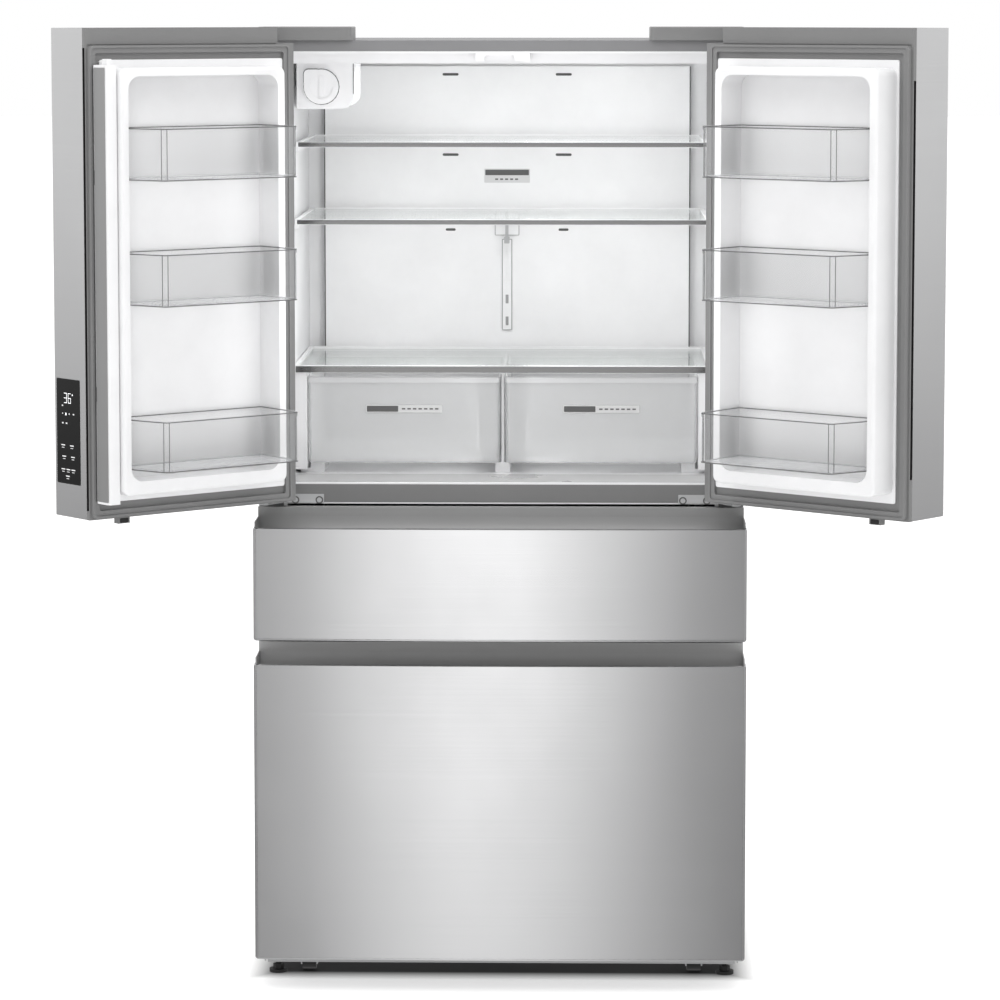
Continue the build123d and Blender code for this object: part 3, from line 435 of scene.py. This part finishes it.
def round_outline(corners, radii, inset=0.0, steps=5):
    """A closed outline with round corners, moved inwards; corners run anticlockwise."""
    lines = []
    for i, start in enumerate(corners):
        along = (corners[(i + 1) % len(corners)] - start).normalized()
        lines.append((start + Vector((-along.y, along.x)) * inset, along))
    points = []
    for i, radius in enumerate(radii):
        (p, u), (q, v) = lines[i - 1], lines[i]
        corner = p + u * ((q - p).cross(v) / u.cross(v))
        turn = u.angle(v)
        radius = max(radius - inset, 0.4)
        first = corner - u * (radius * tan(turn / 2))
        centre = first + Vector((-u.y, u.x)) * radius
        for step in range(steps + 1):
            points.append(centre + Matrix.Rotation(turn * step / steps, 2) @ (first - centre))
    return points


def rectangle(a, b):
    """The corners of a rectangle that spans two pairs, anticlockwise."""
    (a0, a1), (b0, b1) = sorted(a), sorted(b)
    return [Vector(p) for p in ((a0, b0), (a1, b0), (a1, b1), (a0, b1))]


def add_plate(bm, x, z, depth, radius, turn=STILL):
    """Add an upright plate with round corners that spans three pairs."""
    outline = round_outline(rectangle(x, z), [radius] * 4)
    thickness = turn.to_3x3() @ Vector((0, (depth[1] - depth[0]) * MM, 0))
    add_prism(bm, [turn @ point(p.x, depth[0], p.y) for p in outline], thickness)


def add_plate_x(bm, x, depth, z, turn=STILL, thickness=0.35, radius=2.0):
    """Add a thin plate that faces +X at x and spans depth and z."""
    outline = round_outline(rectangle(depth, z), [radius] * 4)
    push = turn.to_3x3() @ Vector((thickness * MM, 0, 0))
    add_prism(bm, [turn @ point(x, p.x, p.y) for p in outline], push)


def add_tray(bm, corners, radii, rings, turn=STILL):
    """Add an open tray: rings of (inset, height) go up outside, over the rim and down inside."""
    loops = []
    for inset, height in rings:
        outline = round_outline(corners, radii, inset)
        loops.append([bm.verts.new(turn @ point(p.x, p.y, height)) for p in outline])
    count = len(loops[0])
    for low, high in zip(loops, loops[1:]):
        for i in range(count):
            j = (i + 1) % count
            bm.faces.new((low[i], low[j], high[j], high[i]))
    bm.faces.new(reversed(loops[0]))
    bm.faces.new(loops[-1])


def add_band(bm, corners, radii, insets, heights, turn=STILL):
    """Add a thin band that follows an outline, between two insets and two heights."""
    loops = []
    for inset, height in zip((insets[0], insets[0], insets[1], insets[1]), (*heights, *reversed(heights))):
        outline = round_outline(corners, radii, inset)
        loops.append([bm.verts.new(turn @ point(p.x, p.y, height)) for p in outline])
    count = len(loops[0])
    for low, high in zip(loops, loops[1:] + loops[:1]):
        for i in range(count):
            j = (i + 1) % count
            bm.faces.new((low[i], low[j], high[j], high[i]))


# ---------------------------------------------------------------- door bins

BIN_REACH = 135.0
BIN_LEVELS = ((1006.0, 1097.0), (1296.0, 1389.0), (1515.0, 1608.0))
# Corners from the door's hinge edge and from its back, and the radii of their bends.
BIN_CORNERS = ((82, 6), (84, 60), (90, BIN_REACH), (378, BIN_REACH), (397, 60), (399, 6))
BIN_RADII = (5, 12, 9, 9, 12, 5)


def front_posts(corners, radii, steps=5):
    """Both ends of each front corner's bend, just inside a bin's outline."""
    outline = round_outline(corners, radii, 1.0, steps)
    reach = max(abs(p.y) for p in corners)
    front = [i for i, corner in enumerate(corners) if corner.y == reach]
    return [outline[i * (steps + 1) + end] for i in front for end in (0, steps)]


def door_bins(side):
    """Three clear bins with a thick rim, a heavy base and sloping ends."""
    # Reversed on the left, so that the outline runs anticlockwise.
    corners = [Vector((side * (HALF - u), DOOR_THICKNESS + p)) for u, p in BIN_CORNERS][::side]
    radii = BIN_RADII[::side]
    word = word_for(side)
    for index, (low, high) in enumerate(BIN_LEVELS):
        bm = bmesh.new()
        rings = (
            (7.0, low), (4.2, low + 1), (2.8, low + 3.5), (2.4, low + 12), (1.8, high - 9),
            (0.6, high - 7.5), (0.2, high - 6), (0.2, high - 1.2), (0.8, high), (3.2, high),
            (4.0, high - 1), (4.4, high - 9), (5.2, low + 12), (5.8, low + 5.5), (8.5, low + 3.6),
            (13.0, low + 3.2),
        )
        add_tray(bm, corners, radii, rings, DOOR_TURN[side])
        made = piece(f"{word}_bin_{index + 1}", bm, DOOR_BODY[side], "clear_plastic")
        if index == 0:
            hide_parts(f"{word}_door_bins")
        # Dark bands along the rim and the base and dark posts at the front corners: painted shade of the clear
        # plastic's thick edges.
        bm = bmesh.new()
        for lift in (low + 0.6, high - 3.0):
            add_band(bm, corners, radii, (0.1, 0.9), (lift, lift + 1.8), DOOR_TURN[side])
        for post in front_posts(corners, radii):
            x, depth = ((middle - 0.5, middle + 0.5) for middle in post)
            add_block(bm, x, depth, (low + 3, high - 2), DOOR_TURN[side])
        piece(f"{word}_bin_{index + 1}_edges", bm, DOOR_BODY[side], "clear_plastic", EDGE_SHADE)


# ---------------------------------------------------------------- crispers

CRISPER_DEPTH = (266.0, 690.0)
LABEL_X = 187.0  # middle of a crisper's label
LABEL_HALF = 72.0
LABEL_Z = (1052, 1066)
INK_DEPTH = 0.4  # how far the marks stand proud of a label


def crisper(side):
    """A crisper: a frosted deep tray with a wide front lip and a small plain label."""
    word = word_for(side)
    low, high = node_box(f"{word}_crisper")
    x, depth = (low.x, high.x), CRISPER_DEPTH
    bottom, top = low.z, high.z
    bm = bmesh.new()
    rings = (
        (8.0, bottom), (4.0, bottom + 1.2), (2.4, bottom + 5), (1.6, bottom + 40), (1.0, top - 9),
        (0.0, top - 7.5), (0.0, top - 1), (0.8, top), (3.6, top), (4.2, top - 1), (4.6, top - 9),
        (5.4, bottom + 40), (6.2, bottom + 7), (9.5, bottom + 4), (16.0, bottom + 3.4),
    )
    add_tray(bm, rectangle(x, depth), [10] * 4, rings)
    lip = (depth[0] - 3.5, depth[0] + 2)
    add_plate(bm, (x[0] + 3, x[1] - 3), (top - 11, top - 2.5), lip, 3)
    made = piece(f"{word}_crisper_tray", bm, f"{word}_crisper", "frosted_plastic")
    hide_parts(f"{word}_crisper")
    start = side * LABEL_X - LABEL_HALF
    face = depth[0] + 0.2
    marks = (face - INK_DEPTH, face + 0.2)
    bm = bmesh.new()
    add_plate(bm, (start, start + 2 * LABEL_HALF), LABEL_Z, (face, face + 1.2), 2)
    piece(f"{word}_crisper_label", bm, f"{word}_crisper", "white_liner", PALE_INK)
    bm = bmesh.new()
    add_plate(bm, (start + 1.5, start + 61), (LABEL_Z[0] + 1.5, LABEL_Z[1] - 1.5), marks, 1.2)
    for step in range(7):
        mark = start + 68 + step * 10.5
        add_block(bm, (mark, mark + 6.5), marks, (LABEL_Z[0] + 5.6, LABEL_Z[1] - 5.6))
    piece(f"{word}_crisper_label_marks", bm, f"{word}_crisper", "white_liner", INK_AND_SHADE)


def compartment_floor():
    """A grey plate of painted shade on the step of the food compartment's floor, and the wall between the
    crispers.
    """
    floor_top = node_box("crisper_supports")[0].z
    tray_bottom = node_box("left_crisper")[0].z
    cover_bottom = node_box("crisper_cover_frame")[0].z
    bm = bmesh.new()
    add_plate(bm, (-396, 396), (floor_top + 0.1, floor_top + 0.9), (136, 256), 0.3)
    piece("floor_step_painted_shade", bm, "cabinet", "white_liner", LIP_SHADE)
    bm = bmesh.new()
    add_plate(bm, (-2.5, 2.5), (tray_bottom - 0.5, cover_bottom), (290, 690), 1)
    piece("crisper_divider", bm, "cabinet", "white_liner", MATERIALS["duct_white"])


# ---------------------------------------------------------------- back wall details

SEAM_WIDTH = 2.2
VENT_X = 113.0
VENTS = ((1684, 32), (1524, 32), (1374, 20))  # height and length
VENT_MARGIN = 4.0  # a shade reaches this far past its vent
VENT_HALF_HEIGHT = 6.0
DUCT_LABEL_HALF = 45.6
DUCT_LABEL_Z = (1468, 1496)


def duct_details():
    """Painted shade in the gaps at the duct panel's edges and behind its vents, and a small plain label."""
    low, high = node_box("air_duct_panel")
    seam = (DUCT_FRONT + 2, DUCT_FRONT + 9)
    # Dark blocks in the gaps at the panel's edges: painted shade.
    bm = bmesh.new()
    for x in (low.x - SEAM_WIDTH, high.x):
        add_block(bm, (x, x + SEAM_WIDTH), seam, (low.z, high.z))
    piece("duct_edge_painted_shade", bm, "cabinet", "duct_white", PAINTED_SHADE)
    # Dark plates behind the vents: painted shade.
    bm = bmesh.new()
    for side in (-1, 1):
        for level, length in VENTS:
            reach = length / 2 + VENT_MARGIN
            span = (side * VENT_X - reach, side * VENT_X + reach)
            height = (level - VENT_HALF_HEIGHT, level + VENT_HALF_HEIGHT)
            add_plate(bm, span, height, (DUCT_FRONT + 3.2, DUCT_FRONT + 4.4), 3)
    piece("duct_vent_painted_shade", bm, "cabinet", "duct_white", PAINTED_SHADE)
    bm = bmesh.new()
    label = (-DUCT_LABEL_HALF, DUCT_LABEL_HALF)
    add_plate(bm, label, DUCT_LABEL_Z, (DUCT_FRONT - 0.8, DUCT_FRONT), 1.5)
    piece("duct_label", bm, "cabinet", "duct_white", PALE_INK)
    bm = bmesh.new()
    face = (DUCT_FRONT - 1.1, DUCT_FRONT - 0.8)
    add_plate(bm, (label[0] + 2, label[1] - 2), (DUCT_LABEL_Z[1] - 13, DUCT_LABEL_Z[1] - 2), face, 1)
    for step in range(5):
        mark = -24 + step * 10
        add_block(bm, (mark, mark + 6), face, (DUCT_LABEL_Z[0] + 5.5, DUCT_LABEL_Z[0] + 8.5))
    piece("duct_label_marks", bm, "cabinet", "duct_white", INK_AND_SHADE)


LADDER_Z = (1172.5, 1355.5)
BRACKET_Z = (1362.5, 1415.5)
LADDER_SLOTS = (1191, 1235)


def ladder_shades():
    """Painted shade in the gaps around the shelf ladder and its bracket and inside its slots, and its hook."""
    gap = (DUCT_FRONT - 0.5, DUCT_FRONT - 0.1)
    slot = (DUCT_FRONT - 3.0, DUCT_FRONT - 2.2)
    bm = bmesh.new()
    add_plate(bm, (-10.4, 10.4), LADDER_Z, gap, 2)
    add_plate(bm, (-24.6, 24.6), BRACKET_Z, gap, 2)
    for level in LADDER_SLOTS:
        add_plate(bm, (-2.9, 2.9), (level - 8.9, level + 8.9), slot, 1)
    piece("shelf_ladder_painted_shade", bm, "cabinet", "duct_white", PALE_SHADE)
    bm = bmesh.new()
    add_plate(bm, (-3.2, 3.2), (1350, 1412), (DUCT_FRONT - 28.4, DUCT_FRONT - 27.2), 1.5)
    add_plate(bm, (-5.4, 5.4), (1348, 1362), (DUCT_FRONT - 28.8, DUCT_FRONT - 27.0), 1.5)
    piece("shelf_ladder_hook", bm, "cabinet", "zinc_steel")


# ---------------------------------------------------------------- shelves, filter and hinges

SHELF_FRONT = node_box("upper_shelf_frame")[0].y - FRONT
CAP_REACH = 34.0  # filter cap's middle to its outline
CAP_CORNER = 10.0  # radius of the cap's square corner


def shelf_trims():
    """Polished strips along the front edges of the shelves and of the crisper cover."""
    for name in ("upper_shelf", "lower_shelf", "crisper_cover"):
        low, high = node_box(f"{name}_frame")
        bm = bmesh.new()
        span = (low.x + 4, high.x - 4)
        add_plate(bm, span, (low.z + 1.2, high.z - 1.6), (SHELF_FRONT - 1.2, SHELF_FRONT + 0.2), 1.5)
        add_plate(bm, span, (high.z - 1.4, high.z - 0.4), (SHELF_FRONT - 0.8, SHELF_FRONT + 0.2), 0.4)
        piece(f"{name}_trim", bm, "cabinet", "dark_trim", TRIM, 0.3)


def filter_shade():
    """The shadow gap behind the filter's cap, and the one at its housing's side."""
    low, high = node_box("water_filter")
    left = (low.x + high.x) / 2 - CAP_REACH
    top = (low.z + high.z) / 2 + CAP_REACH
    depth = (234.65, 234.95)
    bm = bmesh.new()
    for width, radius in ((2 * CAP_REACH, CAP_REACH), (CAP_REACH, CAP_CORNER)):
        add_plate(bm, (left, left + width), (top - width, top), depth, radius - 0.1)
    edge = node_box("filter_housing")[1].x
    add_block(bm, (edge - 1.9, edge - 0.3), (234.2, 235.0), (1655, 1712))
    piece("filter_shade", bm, "cabinet", "white_liner", PAINTED_SHADE)


SCREW_X = (338.5, 383.0)
SCREW_Z = 903.0
SCREW_GAP = 7.2  # outer radius of the gap round a screw's head
STOP_PAD = (367, 385)  # from the door's hinge edge
CAP_RADIUS = 14.0  # hinge caps
CAP_BACK = 113.6
CAP_HEIGHT = 19.8


def hinge_details():
    """Painted shade in the gaps round the centre hinges' screws, and the stops under the doors."""
    bm = bmesh.new()
    screw_z = (SCREW_Z - SCREW_GAP, SCREW_Z + SCREW_GAP)
    for side in (-1, 1):
        for x in SCREW_X:
            span = (side * x - SCREW_GAP, side * x + SCREW_GAP)
            add_plate(bm, span, screw_z, (118.7, 118.95), SCREW_GAP - 0.1)
    piece("hinge_screw_painted_shade", bm, "cabinet", "zinc_steel", INK_AND_SHADE)
    for side in (-1, 1):
        bm = bmesh.new()
        x = tuple(side * (HALF - u) for u in STOP_PAD)
        add_plate(bm, x, (906.3, 914.5), (110.0, 110.5), 2, DOOR_TURN[side])
        name = f"{word_for(side)}_stop_pad"
        piece(name, bm, DOOR_BODY[side], "grey_frame", MATERIALS["black_plastic"])


def hinge_caps():
    """The rounded caps over the top hinges' arms, which the doors turn about."""
    bottom = node_box("hinge_plates")[1].z + 0.4
    for side in (-1, 1):
        word = word_for(side)
        pin = JOINTS[f"{word}_door_hinge"]["pos_m"]
        x, depth = pin[0] / MM, pin[1] / MM - FRONT
        corners = rectangle((x - CAP_RADIUS, x + CAP_RADIUS), (depth - CAP_RADIUS, CAP_BACK))
        round_front = [CAP_RADIUS - 0.1, CAP_RADIUS - 0.1, 0.5, 0.5]
        bm = bmesh.new()
        outline = round_outline(corners, round_front, 0.0, 12)
        add_prism(bm, [point(p.x, p.y, bottom) for p in outline], Vector((0, 0, CAP_HEIGHT * MM)))
        piece(f"{word}_hinge_cap", bm, "cabinet", "grey_frame", None, 1.5)


# Heights of each door's finger slot, and its lining's walls as spans from the hinge edge and back.
GRIP_Z = {-1: (932.2, 1745.8), 1: (990.2, 1688.8)}
GRIP_WALLS = (
    ((434.1, 435.0), (103.1, 109.9)),
    ((434.1, 449.2), (103.05, 103.6)),
    ((434.1, 449.2), (109.5, 109.95)),
)


def grip_linings():
    """The dark channel inside the finger slot of each door's free edge."""
    for side in (-1, 1):
        bm = bmesh.new()
        for reach, depth in GRIP_WALLS:
            x = tuple(side * (HALF - u) for u in reach)
            add_block(bm, x, depth, GRIP_Z[side], DOOR_TURN[side])
        name = f"{word_for(side)}_grip_lining"
        piece(name, bm, DOOR_BODY[side], "grey_frame", MATERIALS["black_plastic"])


# ---------------------------------------------------------------- flipper

FLIPPER_INSET = 8.3  # folded flipper's outer side, from the door's free edge


def flipper_strip():
    """The steel strip that the doors' magnets hold, on the folded flipper's outer side."""
    bm = bmesh.new()
    low, high = node_box("flipper_mullion")
    outer = HALF - (DOOR_WIDTH - FLIPPER_INSET)
    add_plate_x(bm, -outer, (126.0, 160.0), (low.z + 4, high.z - 15), DOOR_TURN[-1])
    piece("flipper_steel_strip", bm, "flipper", "zinc_steel", FLIPPER_STEEL)


# ---------------------------------------------------------------- control panel

SEGMENTS = {"3": "abcdg", "6": "acdefg"}
DIGIT_HEIGHT = 18.0
MARK_THICKNESS = 0.15
GLASS_FACE = 0.62  # from the door's free edge out to the lit marks
# Depth, distance below the panel's top and, for the icons, width.
PANEL_ICONS = (
    (27, 49, 4), (28, 63, 2.5), (49, 63, 3), (62, 63, 4.5), (27, 80, 5), (39, 80, 5),
)
PANEL_BUTTONS = (
    (24, 119), (52, 119), (27, 139), (55, 139), (24, 162), (40, 162), (56, 162), (38, 174),
)


def add_digit(bm, digit, depth, z, x, turn):
    """Add a seven-segment digit that faces +X, its near edge at depth and its foot at z."""
    width, bar = DIGIT_HEIGHT * 0.5, DIGIT_HEIGHT * 0.06
    half = DIGIT_HEIGHT / 2
    spans = {
        "a": ((0, width), (DIGIT_HEIGHT - bar, DIGIT_HEIGHT)),
        "b": ((width - bar, width), (half, DIGIT_HEIGHT)),
        "c": ((width - bar, width), (0, half)),
        "d": ((0, width), (0, bar)),
        "e": ((0, bar), (0, half)),
        "f": ((0, bar), (half, DIGIT_HEIGHT)),
        "g": ((0, width), (half - bar / 2, half + bar / 2)),
    }
    for segment in SEGMENTS[digit]:
        across, up = spans[segment]
        depths = tuple(depth + a for a in across)
        add_plate_x(bm, x, depths, tuple(z + u for u in up), turn, MARK_THICKNESS, 0.4)


def control_panel():
    """The lit marks of the touch panel in the left door's free edge."""
    turn = DOOR_TURN[-1]
    x = -HALF + DOOR_WIDTH + GLASS_FACE
    top = node_box("control_panel")[1].z
    bm = bmesh.new()
    add_digit(bm, "3", 34, top - 43, x, turn)
    add_digit(bm, "6", 47, top - 43, x, turn)
    add_plate_x(bm, x, (59.5, 62.5), (top - 29, top - 26), turn, MARK_THICKNESS, 1.4)
    add_plate_x(bm, x, (38, 41.5), (top - 65, top - 60), turn, MARK_THICKNESS, 1.4)
    piece("panel_digits", bm, "left_door", "black_glass", GLOW)
    bm = bmesh.new()
    for depth, below, width in PANEL_ICONS:
        height = (top - below, top - below + 2.5)
        add_plate_x(bm, x, (depth, depth + width), height, turn, MARK_THICKNESS, 1.0)
    for depth, below in PANEL_BUTTONS:
        level = top - below
        name, hint = (depth, depth + 12), (depth + 2, depth + 10)
        add_plate_x(bm, x, name, (level, level + 1.8), turn, MARK_THICKNESS, 0.5)
        add_plate_x(bm, x, hint, (level - 4, level - 3), turn, MARK_THICKNESS, 0.4)
    piece("panel_icons", bm, "left_door", "black_glass", DIM_GLOW)


# ---------------------------------------------------------------- stage

# Lengths here are in metres.
FLOOR_RADIUS = 60.0
FLOOR_GAP = 0.0005  # keeps the floor's face off the feet's
FLOOR_GREY = grey(0.8)
FLOOR_GLOW = 0.5
SHADE_BLUR = 0.03


def shade_under(pale):
    """Paint a shadow on the floor where the object stands on it, and let it glow a little elsewhere."""
    low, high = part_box("cabinet_wrapper")
    tree = pale.tree
    axes = tree.nodes.new("ShaderNodeSeparateXYZ")
    pale.link(pale.coordinates.outputs["Object"], axes.inputs[0])

    def outside(value, middle, half):
        """How far a coordinate is outside a span."""
        for operation, second in (("SUBTRACT", middle), ("ABSOLUTE", None), ("SUBTRACT", half)):
            node = tree.nodes.new("ShaderNodeMath")
            node.operation = operation
            pale.link(value, node.inputs[0])
            if second is not None:
                node.inputs[1].default_value = second
            value = node.outputs[0]
        return value

    away = tree.nodes.new("ShaderNodeMath")
    away.operation = "MAXIMUM"
    pale.link(outside(axes.outputs["X"], 0.0, high.x), away.inputs[0])
    pale.link(outside(axes.outputs["Y"], (low.y + high.y) / 2, (high.y - low.y) / 2), away.inputs[1])
    lit = pale.spread(away.outputs[0], 0.0, 1.0, -SHADE_BLUR, SHADE_BLUR)
    pale.link(pale.spread(lit, 0.0, FLOOR_GLOW, 0.0, 1.0), pale.shader.inputs["Emission Strength"])
    # Painted shadow: near black under the object's footprint, pale grey away from it.
    tone = tree.nodes.new("ShaderNodeMix")
    tone.data_type = "RGBA"
    tone.inputs["A"].default_value = (*grey(0.03), 1)
    tone.inputs["B"].default_value = (*FLOOR_GREY, 1)
    pale.link(lit, tone.inputs["Factor"])
    pale.link(tone.outputs["Result"], pale.shader.inputs["Base Color"])


def make_floor():
    """A wide pale floor."""
    bm = bmesh.new()
    bmesh.ops.create_circle(bm, cap_ends=True, segments=96, radius=FLOOR_RADIUS)
    mesh = bpy.data.meshes.new("floor")
    bm.to_mesh(mesh)
    bm.free()
    pale = Surface("pale_floor", FLOOR_GREY, 0.6)
    pale.shader.inputs["Emission Color"].default_value = (1, 1, 1, 1)
    pale.vary_roughness(pale.noise((2.0, 2.0, 2.0)), 0.55, 0.7)
    shade_under(pale)
    mesh.materials.append(pale.material)
    floor = bpy.data.objects.new("floor", mesh)
    floor.location.z = -FLOOR_GAP
    floor.visible_glossy = False
    bpy.context.scene.collection.objects.link(floor)


make_camera()
make_world()
make_floor()
bpy.context.scene.view_settings.view_transform = "Standard"
light_object()
finish_cad_nodes()
for side in (-1, 1):
    door_bins(side)
    crisper(side)
compartment_floor()
duct_details()
ladder_shades()
shelf_trims()
filter_shade()
hinge_details()
hinge_caps()
grip_linings()
flipper_strip()
control_panel()
